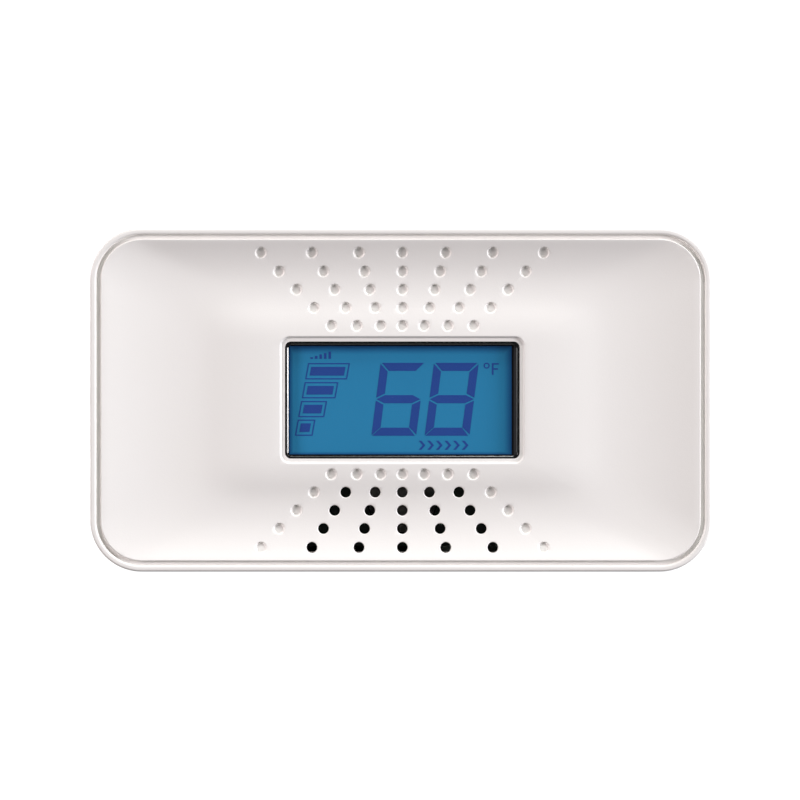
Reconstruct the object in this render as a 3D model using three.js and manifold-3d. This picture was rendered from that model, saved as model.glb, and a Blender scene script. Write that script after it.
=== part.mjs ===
// A desk or wall carbon monoxide alarm: a deep rear housing closed by a dished front cover,
// with a framed display, a circuit board, a gas sensor, a sounder, a sealed battery,
// a test button on the top and two slide switches on the back.
// Millimetres. +X is to the right seen from the front, the front faces -Y, +Z is up,
// and the origin is at the middle of the underside.
import * as THREE from "three";
import { mergeVertices } from "three/addons/utils/BufferGeometryUtils.js";
import Module from "manifold-3d";

const wasm = await Module();
wasm.setup();

// ---------- driving dimensions ----------

const width = 115;
const height = 63.5;
const depth = 38;
const cornerRadius = 9.5;
const front = -depth / 2;
const back = depth / 2;
const middle = height / 2;
const clearance = 0.3; // between neighbouring pieces

const wall = 2.4; // housing side and back walls
const rim = { thickness: 1.2, ledgeDepth: 4.4, ledgeInset: 3.6, ledgeThickness: 2 };

const cover = {
  inset: 1.97, // outline of the face, in from the outline of the housing
  flangeInset: 1.5,
  flangeStep: 0.9, // the flange stands this far behind the face's edge
  thickness: 4, // from the edge of the face to the flat back
  skirtInset: 3.9,
  skirtWall: 1.6,
  skirtDepth: 2.8,
  skirtGap: { halfX: 20, z: 7 }, // the skirt is left out below the open holes
  stepRadius: 1.7, // corners of the recess round the display
  openingRadius: 1.2,
  pocket: { left: -27, right: 27.6, halfHeight: 16 }, // behind the face, round the display
};
const pillar = { radius: 3.4, bore: 1.7, boreDepth: 10 }; // of the cover, at the housing screws
const boss = { radius: 2.8, bore: 1.4, boreDepth: 5.5 }; // of the cover, at the board screws

// The face: four scoops run in from its edge to a valley, and a soft mound rises inside them.
const dish = { depth: 2.2, scoopX: 16.7, scoopZ: 8.7 };
const mound = {
  rise: 1.05,
  crownX: 23.4,
  shoulderX: 34.5,
  footX: 38.8,
  crownZ: 11.1,
  shoulderZ: 16.3,
  footZ: 20.6,
};

const displayX = 0.3; // the display and the hole pattern sit this far right of the middle
const bezel = { left: -21.4, right: 22, halfHeight: 10.8, radius: 1.05, lip: 0.55, recess: 0.45 };
const bezelOpening = { left: -20.55, right: 21.6, halfHeight: 10.4, radius: 0.8 };
const bezelFlange = { left: -25, right: 25.6, halfHeight: 14.4, thickness: 1.2 };
const lcdFrontGlass = { left: -22.4, right: 23.4, halfHeight: 12.3 };
const lcdLedge = 2.3; // the rear glass stands out above and below to carry its contacts
const glassThickness = 1.1;
const backlight = { thickness: 3, inset: 0.6, ledWidth: 2.2, ledHalfHeight: 2.5 };
const holder = { left: -27, right: 28, overhang: 3.6, floor: 1.2 };
const stripHeight = 1.8; // of the two rubber contact strips
const windowStep = 0.92; // the cover's recess is this much bigger than the bezel all round

const holes = {
  radius: 1,
  sides: 10,
  rows: [13.74, 17.09, 20.47, 23.84, 27.31], // distances above and below the middle
  columns: 3, // each side of the middle one
  firstOffset: 4.04,
  offsetGrowth: 0.176,
  dimpleDepth: 0.55, // shallow, as the nearest row lies over the display's frame
};

const board = { front: -7.6, back: -6, halfWidth: 43, bottom: 4.5, top: 57.5 };
const switchBoard = { front: 9, back: 10.2, left: -36, right: 22, bottom: 7, top: 19 };
const sounder = { x: displayX, z: 13.5, radius: 10.6, port: 6.5, back: 0.1 };
const battery = {
  y: 5.5,
  z: 46,
  radius: 8.5,
  length: 34.5,
  cap: { radius: 3.2, length: 1.2 },
  holderWall: 1.6,
  contactThickness: 0.4,
};
const sensor = { x: 32, z: 22, radius: 10, capRadius: 7.4, back: 8 };
const button = {
  x: 30,
  y: -1,
  width: 18,
  depth: 9,
  radius: 2,
  top: height - 0.25,
  flange: 1.4,
  postRadius: 1.6,
  postLength: 0.8,
};
const tactSwitch = { halfX: 3, height: 4.8, plungerRadius: 1.5, plungerStands: 1.8, well: 1.8 };
const vents = { count: 5, y: -5, pitch: 3.6, width: 1.8, bottom: 14, top: 34 };
const label = { halfX: 20, bottom: 23.5, top: 33.5, depth: 0.3 }; // a sunk, plain field
const keyhole = {
  x: 32,
  z: 42,
  headRadius: 4.4,
  neckRadius: 2.3,
  rise: 8,
  pocketDepth: 5,
  pocketMargin: 0.8,
  pocketSkin: 1.2,
};
const bay = { depth: 1.2, margin: 2.6, z: 13, radius: 1.5 }; // sunk round each slide switch
const knob = { width: 4, height: 3.8, tongueHalf: 1.1, plateMargin: 1.5, plateThickness: 1.2 };
const activation = { x: 3, travel: 6 };
const unit = { x: -20, travel: 3 };
const housingScrew = {
  x: 48.3,
  z: 23.05,
  floor: 2,
  floorThickness: 2.2,
  tubeRadius: 4.6,
  wellRadius: 3.3,
  bore: 1.7,
  headRadius: 2.9,
  headHeight: 2,
  shankRadius: 1.4,
  tip: -6,
};
const boardScrew = { x: 39.5, z: 22.2, headRadius: 2.3, headHeight: 1.5, shankRadius: 1.1, tip: -12 };
const switchScrew = { inset: 3.4, headRadius: 2, shankRadius: 1, postRadius: 2.4, bore: 1.3 };
const pad = { x: 42, y: 11, radius: 4, thickness: 0.8 };

// ---------- materials ----------

const finish = (color, roughness, metalness = 0, opacity = 1) =>
  new THREE.MeshStandardMaterial({
    color,
    roughness,
    metalness,
    opacity,
    transparent: opacity < 1,
  });

const ivoryPlastic = finish(0xeeeae6, 0.45);
const blackPlastic = finish(0x0c0d0e, 0.3);
const clearPlastic = finish(0xf4f8fa, 0.05, 0, 0.3);
const displayGlass = finish(0x2a78a8, 0.2);
const diffuserPlastic = finish(0xe8f0f4, 0.6);
const naturalPlastic = finish(0xd8d4c8, 0.6);
const greenBoard = finish(0x1f5c36, 0.5);
const blackResin = finish(0x151617, 0.6);
const greyRubber = finish(0x55575a, 0.9);
const steel = finish(0xb8bcc0, 0.35, 1);
const brass = finish(0xb59a55, 0.4, 1);
const batteryWrap = finish(0x2b4a86, 0.4);

// ---------- shapes ----------

// A closed three.js geometry as a solid that can be joined and cut.
function solid(geometry) {
  const bare = new THREE.BufferGeometry().setAttribute("position", geometry.getAttribute("position"));
  if (geometry.index) bare.setIndex(geometry.index);
  const merged = mergeVertices(bare, 1e-4);
  return new wasm.Manifold(
    new wasm.Mesh({
      numProp: 3,
      vertProperties: new Float32Array(merged.attributes.position.array),
      triVerts: new Uint32Array(merged.index.array),
    }),
  );
}

const join = (...pieces) => pieces.reduce((a, b) => a.add(b));
const cut = (piece, ...tools) => tools.reduce((a, b) => a.subtract(b), piece);

// A named mesh from a solid.
function mesh(name, made, material) {
  const data = made.getMesh();
  const geometry = new THREE.BufferGeometry();
  geometry.setAttribute("position", new THREE.BufferAttribute(data.vertProperties, 3));
  geometry.setIndex(new THREE.BufferAttribute(data.triVerts, 1));
  geometry.computeVertexNormals();
  const result = new THREE.Mesh(geometry, material);
  result.name = name;
  return result;
}

function box(x0, x1, y0, y1, z0, z1) {
  const geometry = new THREE.BoxGeometry(x1 - x0, y1 - y0, z1 - z0);
  geometry.translate((x0 + x1) / 2, (y0 + y1) / 2, (z0 + z1) / 2);
  return solid(geometry);
}

// Round bars along each axis.
function barY(x, z, radius, y0, y1, sides = 20) {
  const geometry = new THREE.CylinderGeometry(radius, radius, y1 - y0, sides);
  geometry.translate(x, (y0 + y1) / 2, z);
  return solid(geometry);
}

function barZ(x, y, radius, z0, z1, sides = 20) {
  const geometry = new THREE.CylinderGeometry(radius, radius, z1 - z0, sides);
  geometry.rotateX(Math.PI / 2);
  geometry.translate(x, y, (z0 + z1) / 2);
  return solid(geometry);
}

function barX(y, z, radius, x0, x1, sides = 24) {
  const geometry = new THREE.CylinderGeometry(radius, radius, x1 - x0, sides);
  geometry.rotateZ(Math.PI / 2);
  geometry.translate((x0 + x1) / 2, y, z);
  return solid(geometry);
}

function roundedShape(a0, a1, b0, b1, radius) {
  const shape = new THREE.Shape();
  shape.absarc(a1 - radius, b0 + radius, radius, -Math.PI / 2, 0);
  shape.absarc(a1 - radius, b1 - radius, radius, 0, Math.PI / 2);
  shape.absarc(a0 + radius, b1 - radius, radius, Math.PI / 2, Math.PI);
  shape.absarc(a0 + radius, b0 + radius, radius, Math.PI, 1.5 * Math.PI);
  return shape;
}

// A plate with rounded corners in X and Z, from y0 to y1.
function plate(x0, x1, z0, z1, radius, y0, y1) {
  const geometry = new THREE.ExtrudeGeometry(roundedShape(x0, x1, z0, z1, radius), {
    depth: y1 - y0,
    bevelEnabled: false,
    curveSegments: 6,
  });
  geometry.rotateX(Math.PI / 2);
  geometry.translate(0, y1, 0);
  return solid(geometry);
}

// The housing's outline moved in by an inset, from y0 to y1.
const outlinePlate = (inset, y0, y1) =>
  plate(
    inset - width / 2,
    width / 2 - inset,
    inset,
    height - inset,
    cornerRadius - inset,
    y0,
    y1,
  );

// The points of a rounded rectangle about the middle of the face, counterclockwise from the front.
function ring(halfX, halfZ, radius, depthAt) {
  const points = [];
  const steps = 6;
  const corners = [
    [1, -1, -Math.PI / 2],
    [1, 1, 0],
    [-1, 1, Math.PI / 2],
    [-1, -1, Math.PI],
  ];
  for (const [sideX, sideZ, start] of corners)
    for (let i = 0; i <= steps; i++) {
      const angle = start + ((Math.PI / 2) * i) / steps;
      const x = sideX * (halfX - radius) + radius * Math.cos(angle);
      const z = sideZ * (halfZ - radius) + radius * Math.sin(angle);
      points.push([x, depthAt(x, z), middle + z]);
    }
  return points;
}

// A closed skin through rings, from the one at the front to the one at the back.
function loft(rings) {
  const count = rings[0].length;
  const position = new Float32Array(rings.flat(2));
  const index = [];
  for (let r = 0; r + 1 < rings.length; r++)
    for (let i = 0; i < count; i++) {
      const next = (i + 1) % count;
      const a = r * count + i;
      const b = r * count + next;
      index.push(a, a + count, b, b, a + count, b + count);
    }
  const last = (rings.length - 1) * count;
  for (let i = 1; i + 1 < count; i++) {
    index.push(0, i, i + 1);
    index.push(last, last + i + 1, last + i);
  }
  const geometry = new THREE.BufferGeometry();
  geometry.setAttribute("position", new THREE.BufferAttribute(position, 3));
  geometry.setIndex(index);
  return solid(geometry);
}

// ---------- the face ----------

const faceHalfX = width / 2 - cover.inset;
const faceHalfZ = height / 2 - cover.inset;
const faceRadius = cornerRadius - cover.inset;

// How far in a point lies: 0 on the face's edge, 1 in the valley. The lines of equal value are
// rounded rectangles whose sides move in faster at the ends than at the top and bottom.
function scoopStage(x, z) {
  const fromCornerX = x - (faceHalfX - faceRadius);
  const fromCornerZ = z - (faceHalfZ - faceRadius);
  const stageX = (faceHalfX - x) / dish.scoopX;
  const stageZ = (faceHalfZ - z) / dish.scoopZ;
  if (fromCornerZ + dish.scoopZ * stageX <= 0) return stageX;
  if (fromCornerX + dish.scoopX * stageZ <= 0) return stageZ;
  const a = dish.scoopX ** 2 + dish.scoopZ ** 2;
  const b = dish.scoopX * fromCornerX + dish.scoopZ * fromCornerZ;
  const c = fromCornerX ** 2 + fromCornerZ ** 2 - faceRadius ** 2;
  return (-b + Math.sqrt(Math.max(0, b * b - a * c))) / a;
}

// The mound along one direction: 1 on the crown, bending down to the shoulder, then out to the foot.
function moundShare(distance, crown, shoulder, foot) {
  if (distance <= crown) return 1;
  if (distance >= foot) return 0;
  if (distance <= shoulder)
    return 1 - (distance - crown) ** 2 / ((shoulder - crown) * (foot - crown));
  return (foot - distance) ** 2 / ((foot - shoulder) * (foot - crown));
}

// The Y of the face at a point given from its middle.
function faceY(x, z) {
  const ax = Math.abs(x);
  const az = Math.abs(z);
  const stage = Math.min(1, Math.max(0, scoopStage(ax, az)));
  const scoop = dish.depth * (1 - (1 - stage) ** 2);
  const raised =
    mound.rise *
    moundShare(ax, mound.crownX, mound.shoulderX, mound.footX) *
    moundShare(az, mound.crownZ, mound.shoulderZ, mound.footZ);
  return front + scoop - raised;
}

const plateau = front + dish.depth - mound.rise;
const bezelFront = plateau + bezel.recess;
const bezelFlangeFront = bezelFront + bezel.lip;
const bezelPocketFront = bezelFlangeFront + 0.35;
const coverBack = front + cover.thickness;

function faceBody() {
  const rings = [];
  const crownRings = 6;
  for (let i = 0; i <= crownRings; i++) {
    const share = i / crownRings;
    const halfX = mound.crownX + (mound.footX - mound.crownX) * share;
    const halfZ = mound.crownZ + (mound.footZ - mound.crownZ) * share;
    rings.push(ring(halfX, halfZ, 2 + 5 * share, faceY));
  }
  for (const stage of [0.85, 0.7, 0.55, 0.4, 0.25, 0.12, 0.03])
    rings.push(
      ring(faceHalfX - dish.scoopX * stage, faceHalfZ - dish.scoopZ * stage, faceRadius, faceY),
    );
  rings.push(ring(faceHalfX, faceHalfZ, faceRadius, () => front + 0.25));
  rings.push(ring(faceHalfX, faceHalfZ, faceRadius, () => coverBack));
  return loft(rings);
}

// Every hole of the fan, as a place on the face and whether it goes right through.
function holePlaces() {
  const places = [];
  for (const side of [1, -1])
    holes.rows.forEach((distance, row) => {
      for (let column = -holes.columns; column <= holes.columns; column++) {
        const k = Math.abs(column);
        const first = holes.firstOffset * k + holes.offsetGrowth * k * (k - 1);
        const offset = (Math.sign(column) * first * distance) / holes.rows[0];
        const through = side < 0 && row > 0 && k < holes.columns;
        places.push({ x: displayX + offset, z: side * distance, through });
      }
    });
  return places;
}

function holeTools() {
  return holePlaces().map(({ x, z, through }) => {
    const floor = through ? coverBack + 1 : faceY(x, z) + holes.dimpleDepth;
    return barY(x, middle + z, holes.radius, front - 1, floor, holes.sides);
  });
}

const cornerPlaces = (x, z) => [
  [-x, middle - z],
  [x, middle - z],
  [-x, middle + z],
  [x, middle + z],
];

function frontCover() {
  const skirtInner = cover.skirtInset + cover.skirtWall;
  const skirtEnd = coverBack + cover.skirtDepth;
  const gap = cover.skirtGap;
  const skirt = cut(
    outlinePlate(cover.skirtInset, coverBack - 0.5, skirtEnd),
    outlinePlate(skirtInner, coverBack - 1, skirtEnd + 1),
    box(-gap.halfX, gap.halfX, coverBack, skirtEnd + 1, 0, gap.z),
  );
  let body = join(
    faceBody(),
    outlinePlate(cover.flangeInset, front + cover.flangeStep, coverBack),
    skirt,
  );
  for (const [x, z] of cornerPlaces(housingScrew.x, housingScrew.z)) {
    const end = housingScrew.floor - clearance;
    body = join(body, barY(x, z, pillar.radius, coverBack - 0.5, end));
    body = cut(body, barY(x, z, pillar.bore, end - pillar.boreDepth, end + 1, 14));
  }
  for (const [x, z] of cornerPlaces(boardScrew.x, boardScrew.z)) {
    const end = board.front - clearance;
    body = join(body, barY(x, z, boss.radius, coverBack - 0.5, end, 16));
    body = cut(body, barY(x, z, boss.bore, end - boss.boreDepth, end + 1, 12));
  }
  const b = bezel;
  const step = windowStep;
  const { left, right, halfHeight } = cover.pocket;
  body = cut(
    body,
    plate(
      b.left - step,
      b.right + step,
      middle - b.halfHeight - step,
      middle + b.halfHeight + step,
      cover.stepRadius,
      front - 1,
      bezelFront,
    ),
    plate(
      b.left - clearance,
      b.right + clearance,
      middle - b.halfHeight - clearance,
      middle + b.halfHeight + clearance,
      cover.openingRadius,
      front - 1,
      coverBack + 1,
    ),
    box(left, right, bezelFlangeFront - 0.1, coverBack + 1, middle - halfHeight, middle + halfHeight),
  );
  return cut(body, ...holeTools());
}

// ---------- the display ----------

function displayBezel() {
  const b = bezel;
  const o = bezelOpening;
  const f = bezelFlange;
  const flangeBack = bezelFlangeFront + f.thickness;
  const zLow = middle - b.halfHeight;
  const zHigh = middle + b.halfHeight;
  const flange = plate(
    f.left,
    f.right,
    middle - f.halfHeight,
    middle + f.halfHeight,
    1,
    bezelFlangeFront,
    flangeBack,
  );
  const lip = plate(b.left, b.right, zLow, zHigh, b.radius, bezelFront, bezelFlangeFront + 0.2);
  const opening = plate(
    o.left,
    o.right,
    middle - o.halfHeight,
    middle + o.halfHeight,
    o.radius,
    bezelFront - 1,
    flangeBack + 1,
  );
  const g = lcdFrontGlass;
  const pocket = box(
    g.left - 0.2,
    g.right + 0.2,
    bezelPocketFront,
    flangeBack + 1,
    middle - g.halfHeight - 0.2,
    middle + g.halfHeight + 0.2,
  );
  return cut(join(flange, lip), opening, pocket);
}

const lensFront = bezelPocketFront + 0.1;
const lensThickness = 0.45;
const lcdFront = lensFront + lensThickness + 0.05;

function displayParts() {
  const g = lcdFrontGlass;
  const low = middle - g.halfHeight;
  const high = middle + g.halfHeight;
  const ledge = lcdLedge;
  const rearGlass = lcdFront + glassThickness;
  const lcdBack = rearGlass + glassThickness;
  const guideFront = lcdBack + 0.2;
  const guideBack = guideFront + backlight.thickness;
  const holderFloor = guideBack + 0.2;

  const lens = box(g.left, g.right, lensFront, lensFront + lensThickness, low, high);
  const lcd = join(
    box(g.left, g.right, lcdFront, rearGlass, low, high),
    box(g.left, g.right, rearGlass, lcdBack, low - ledge, high + ledge),
  );
  const { inset, ledWidth, ledHalfHeight } = backlight;
  const guide = box(g.left, g.right, guideFront, guideBack, low + inset, high - inset);
  const { left, right, overhang, floor } = holder;
  const frame = cut(
    box(left, right, rearGlass + 0.6, board.front - 0.1, low - overhang, high + overhang),
    box(g.left - 0.3, g.right + 0.3, front, lcdBack + 0.1, low - ledge - 0.3, high + ledge + 0.3),
    box(g.left - 3.1, g.right + 3.1, lcdBack, holderFloor, low + 0.3, high - 0.3),
    box(g.left + 1, g.right - 1, front, board.front + 1, low - ledge - 0.1, low - 0.1),
    box(g.left + 1, g.right - 1, front, board.front + 1, high + 0.1, high + ledge + 0.1),
    box(g.left + 2, g.right - 2, holderFloor + floor, board.front + 1, low + 1, high - 1),
  );
  const strip = (z0) =>
    box(g.left + 1.5, g.right - 1.5, lcdBack + 0.1, board.front - 0.1, z0, z0 + stripHeight);
  const led = (x0) =>
    box(
      x0,
      x0 + ledWidth,
      guideFront + 0.2,
      guideBack - 0.2,
      middle - ledHalfHeight,
      middle + ledHalfHeight,
    );

  return [
    mesh("display_bezel", displayBezel(), blackPlastic),
    mesh("display_lens", lens, clearPlastic),
    mesh("lcd_panel", lcd, displayGlass),
    mesh("light_guide", guide, diffuserPlastic),
    mesh("lcd_holder", frame, naturalPlastic),
    mesh("zebra_strip_lower", strip(low - ledge + 0.1), greyRubber),
    mesh("zebra_strip_upper", strip(high + 0.4), greyRubber),
    mesh("backlight_led_left", led(g.left - 2.6), diffuserPlastic),
    mesh("backlight_led_right", led(g.right + 0.4), diffuserPlastic),
  ];
}

// ---------- the rear housing ----------

function housingShell() {
  const rings = [
    [front, 0.4],
    [front + 0.12, 0.14],
    [front + 0.45, 0],
    [back - 3, 0],
    [back - 1.4, 0.35],
    [back - 0.4, 1.1],
    [back, 2.2],
  ].map(([y, inset]) =>
    ring(width / 2 - inset, height / 2 - inset, cornerRadius - inset, () => y),
  );
  const ledgeFront = front + rim.ledgeDepth;
  const ledgeBack = ledgeFront + rim.ledgeThickness;
  return cut(
    loft(rings),
    outlinePlate(rim.thickness, front - 1, ledgeFront),
    outlinePlate(rim.ledgeInset, ledgeFront - 1, ledgeBack + 1),
    outlinePlate(wall, ledgeBack, back - wall),
  );
}

function screwTubes(body) {
  const inner = back - wall + 0.5;
  const s = housingScrew;
  for (const [x, z] of cornerPlaces(s.x, s.z)) {
    body = join(body, barY(x, z, s.tubeRadius, s.floor, inner, 24));
    body = cut(
      body,
      barY(x, z, s.wellRadius, s.floor + s.floorThickness, back + 1, 24),
      barY(x, z, s.bore, s.floor - 1, back, 14),
    );
  }
  return body;
}

// A blind pocket behind a keyhole, so that a wall screw's head hangs clear of the board.
function keyholePocket(body, x) {
  const { z, headRadius, neckRadius, rise, pocketDepth, pocketMargin, pocketSkin: skin } = keyhole;
  const inner = back - wall;
  const half = headRadius + pocketMargin;
  const top = z + rise + 3;
  const pocketFront = inner - pocketDepth;
  body = join(
    body,
    box(x - half - skin, x + half + skin, pocketFront - skin, inner + 0.5, z - half - skin, top + skin),
  );
  return cut(
    body,
    box(x - half, x + half, pocketFront, inner, z - half, top),
    barY(x, z, headRadius, inner - 1, back + 1, 32),
    box(x - neckRadius, x + neckRadius, inner - 1, back + 1, z, z + rise),
    barY(x, z + rise, neckRadius, inner - 1, back + 1, 20),
  );
}

// A sunk bay in the back with a slot for a slide switch's knob, which rests at its +X end.
function switchBay(body, { x, travel }) {
  const slotLow = x - travel - knob.width / 2 - clearance;
  const slotHigh = x + knob.width / 2 + clearance;
  const halfHeight = knob.height / 2 + clearance;
  const m = bay.margin;
  return cut(
    body,
    plate(
      slotLow - m,
      slotHigh + m,
      bay.z - halfHeight - m,
      bay.z + halfHeight + m,
      bay.radius,
      back - bay.depth,
      back + 1,
    ),
    box(slotLow, slotHigh, back - wall - 1, back, bay.z - halfHeight, bay.z + halfHeight),
  );
}

const switchScrewPlaces = [
  switchBoard.left + switchScrew.inset,
  switchBoard.right - switchScrew.inset,
];

function rearHousing() {
  let body = screwTubes(housingShell());
  for (const side of [-1, 1]) body = keyholePocket(body, side * keyhole.x);
  for (const place of [activation, unit]) body = switchBay(body, place);
  for (const x of switchScrewPlaces) {
    const { postRadius, bore } = switchScrew;
    body = join(body, barY(x, bay.z, postRadius, switchBoard.back + 0.1, back - wall + 0.5, 16));
    body = cut(body, barY(x, bay.z, bore, switchBoard.back - 1, switchBoard.back + 4.5, 12));
  }
  const buttonHole = topPlate(
    button.x,
    button.y,
    button.width / 2 + clearance,
    button.depth / 2 + clearance,
    button.radius + clearance,
    height - wall - 1,
    height + 1,
  );
  body = cut(body, buttonHole);
  for (let i = 0; i < vents.count; i++) {
    const y = vents.y + i * vents.pitch;
    const slot = box(width / 2 - 4, width / 2 + 1, y, y + vents.width, vents.bottom, vents.top);
    body = cut(body, slot);
  }
  for (const [x, y] of padPlaces()) body = cut(body, barZ(x, y, pad.radius, -1, pad.thickness, 24));
  const { halfX, bottom, top, depth: sunk } = label;
  return cut(body, plate(-halfX, halfX, bottom, top, 1, back - sunk, back + 1));
}

// ---------- the button ----------

// A plate with rounded corners in X and Y, from z0 to z1.
function topPlate(x, y, halfX, halfY, radius, z0, z1) {
  const geometry = new THREE.ExtrudeGeometry(
    roundedShape(x - halfX, x + halfX, y - halfY, y + halfY, radius),
    { depth: z1 - z0, bevelEnabled: false, curveSegments: 5 },
  );
  geometry.translate(0, 0, z0);
  return solid(geometry);
}

const plungerY = -3;
const flangeTop = height - wall - clearance;
const flangeBottom = flangeTop - button.flange;

function buttonParts() {
  const { x, y, width: w, depth: d, radius, top, postRadius, postLength } = button;
  const cap = topPlate(x, y, w / 2, d / 2, radius, flangeTop - 0.5, top);
  const flange = topPlate(x, y, w / 2 + 1.6, d / 2 + 1.5, radius, flangeBottom, flangeTop);
  const postEnd = flangeBottom - postLength;
  const post = barZ(x, plungerY, postRadius, postEnd, flangeBottom + 0.5, 16);

  const t = tactSwitch;
  const plungerTop = postEnd - 0.2;
  const bodyTop = plungerTop - t.plungerStands;
  const wellRadius = t.plungerRadius + clearance;
  const switchBody = cut(
    box(x - t.halfX, x + t.halfX, board.back + 0.1, 0, bodyTop - t.height, bodyTop),
    barZ(x, plungerY, wellRadius, bodyTop - t.well, bodyTop + 1, 16),
  );
  const plunger = barZ(x, plungerY, t.plungerRadius, bodyTop - 0.7, plungerTop, 16);
  return [
    mesh("test_button", join(cap, flange, post), ivoryPlastic),
    mesh("tact_switch_body", switchBody, blackResin),
    mesh("tact_plunger", plunger, blackResin),
  ];
}

// ---------- the slide switches ----------

function slideSwitch(name, { x, travel }, material) {
  const inner = back - wall;
  const slideBack = inner - clearance;
  const slideFront = slideBack - knob.plateThickness;
  const reach = travel + knob.width / 2 + 1;
  const bodyBack = slideFront - 0.5;
  const bodyFront = switchBoard.back + 0.1;
  const half = knob.height / 2;
  const plateHalf = half + knob.plateMargin;
  const tongue = knob.tongueHalf;
  const knobTop = back - 0.3;
  const slider = join(
    box(x - reach, x + reach, slideFront, slideBack, bay.z - plateHalf, bay.z + plateHalf),
    box(x - knob.width / 2, x + knob.width / 2, slideBack - 0.5, knobTop, bay.z - half, bay.z + half),
    box(x - tongue, x + tongue, bodyBack - 1, slideFront + 0.5, bay.z - tongue, bay.z + tongue),
  );
  const middleX = x - travel / 2;
  const halfBody = travel / 2 + 3.6;
  const track = travel / 2 + tongue + clearance;
  const switchBody = cut(
    box(middleX - halfBody, middleX + halfBody, bodyFront, bodyBack, bay.z - 3, bay.z + 3),
    box(middleX - track, middleX + track, bodyBack - 1.3, bodyBack + 1, bay.z - 1.4, bay.z + 1.4),
  );
  return [
    mesh(`${name}_slider`, slider, material),
    mesh(`${name}_switch_body`, switchBody, steel),
  ];
}

// ---------- boards and what they carry ----------

function boardParts() {
  const b = board;
  const main = cut(
    plate(-b.halfWidth, b.halfWidth, b.bottom, b.top, 1.5, b.front, b.back),
    barY(sounder.x, sounder.z, sounder.port + 0.3, b.front - 1, b.back + 1, 28),
    ...cornerPlaces(boardScrew.x, boardScrew.z).map(([x, z]) =>
      barY(x, z, 1.4, b.front - 1, b.back + 1, 12),
    ),
  );
  const rear = b.back + 0.1;
  const s = switchBoard;
  const small = cut(
    plate(s.left, s.right, s.bottom, s.top, 1, s.front, s.back),
    ...switchScrewPlaces.map((x) => barY(x, bay.z, switchScrew.bore, s.front - 1, s.back + 1, 12)),
  );
  const chip = box(-33, -23, rear, rear + 1.6, 24, 34);
  const inductor = barY(-31, 14.5, 4.5, rear, rear + 9, 20);
  const capacitor = barY(-19, 12.5, 3.15, rear, rear + 11, 18);
  return [
    mesh("main_board", main, greenBoard),
    mesh("switch_board", small, greenBoard),
    mesh("microcontroller", chip, blackResin),
    mesh("horn_inductor", inductor, blackResin),
    mesh("storage_capacitor", capacitor, steel),
  ];
}

function sensorParts() {
  const rear = board.back + 0.1;
  const { x, z, radius, capRadius, back: end } = sensor;
  const body = barY(x, z, radius, rear, end, 32);
  const cap = cut(
    barY(x, z, capRadius, end + 0.1, end + 3, 28),
    barY(x, z, 1.2, end + 1.2, end + 4, 12),
  );
  return [mesh("co_sensor_body", body, steel), mesh("co_sensor_cap", cap, blackPlastic)];
}

function sounderParts() {
  const rear = board.back + 0.1;
  const { x, z, radius, port, back: end } = sounder;
  const chamber = cut(
    barY(x, z, radius, rear, end, 32),
    barY(x, z, port, rear - 1, rear + 2, 28),
    barY(x, z, radius - 1.2, rear + 1.2, end + 1, 32),
  );
  const disc = barY(x, z, radius - 1.5, rear + 1.4, rear + 1.8, 28);
  const contact = (number, angle) => {
    const cx = x + 5.5 * Math.cos(angle);
    const cz = z + 5.5 * Math.sin(angle);
    return mesh(`sounder_contact_${number}`, barY(cx, cz, 0.7, rear + 2, end, 10), brass);
  };
  return [
    mesh("sounder_chamber", chamber, blackPlastic),
    mesh("piezo_disc", disc, brass),
    contact(1, Math.PI / 2),
    contact(2, Math.PI / 2 + (2 * Math.PI) / 3),
    contact(3, Math.PI / 2 + (4 * Math.PI) / 3),
  ];
}

function batteryParts() {
  const { y, z, radius, length, cap, holderWall, contactThickness } = battery;
  const half = length / 2;
  const cell = join(
    barX(y, z, radius, -half, half - cap.length, 32),
    barX(y, z, cap.radius, half - cap.length - 0.3, half, 20),
  );
  const endGap = 0.2 + contactThickness + 0.2;
  const cradle = cut(
    box(
      -half - endGap - holderWall,
      half + endGap + holderWall,
      board.back + 0.1,
      y + 3,
      z - radius - clearance - holderWall,
      z + radius + clearance + holderWall,
    ),
    barX(y, z, radius + clearance, -half - endGap, half + endGap, 32),
    box(-half - endGap, half + endGap, y - 0.5, y + 4, z - radius - 0.3, z + radius + 0.3),
  );
  const contact = (x0) => box(x0, x0 + contactThickness, y - 4, y + 2.4, z - 5, z + 5);
  return [
    mesh("battery_cell", cell, batteryWrap),
    mesh("battery_holder", cradle, blackPlastic),
    mesh("battery_contact_positive", contact(half + 0.2), steel),
    mesh("battery_contact_negative", contact(-half - 0.2 - contactThickness), steel),
  ];
}

// ---------- screws and pads ----------

// A cross-headed screw whose head sits on its seat and faces +Y, its shank forward to the tip.
function screw(x, z, { headRadius, headHeight, shankRadius, tip }, seat) {
  const arm = headRadius * 0.62;
  const half = headRadius * 0.14;
  const top = seat + headHeight;
  const recessFloor = top - 0.8;
  return cut(
    join(barY(x, z, headRadius, seat, top, 20), barY(x, z, shankRadius, tip, seat + 0.5, 12)),
    box(x - arm, x + arm, recessFloor, top + 1, z - half, z + half),
    box(x - half, x + half, recessFloor, top + 1, z - arm, z + arm),
  );
}

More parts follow.
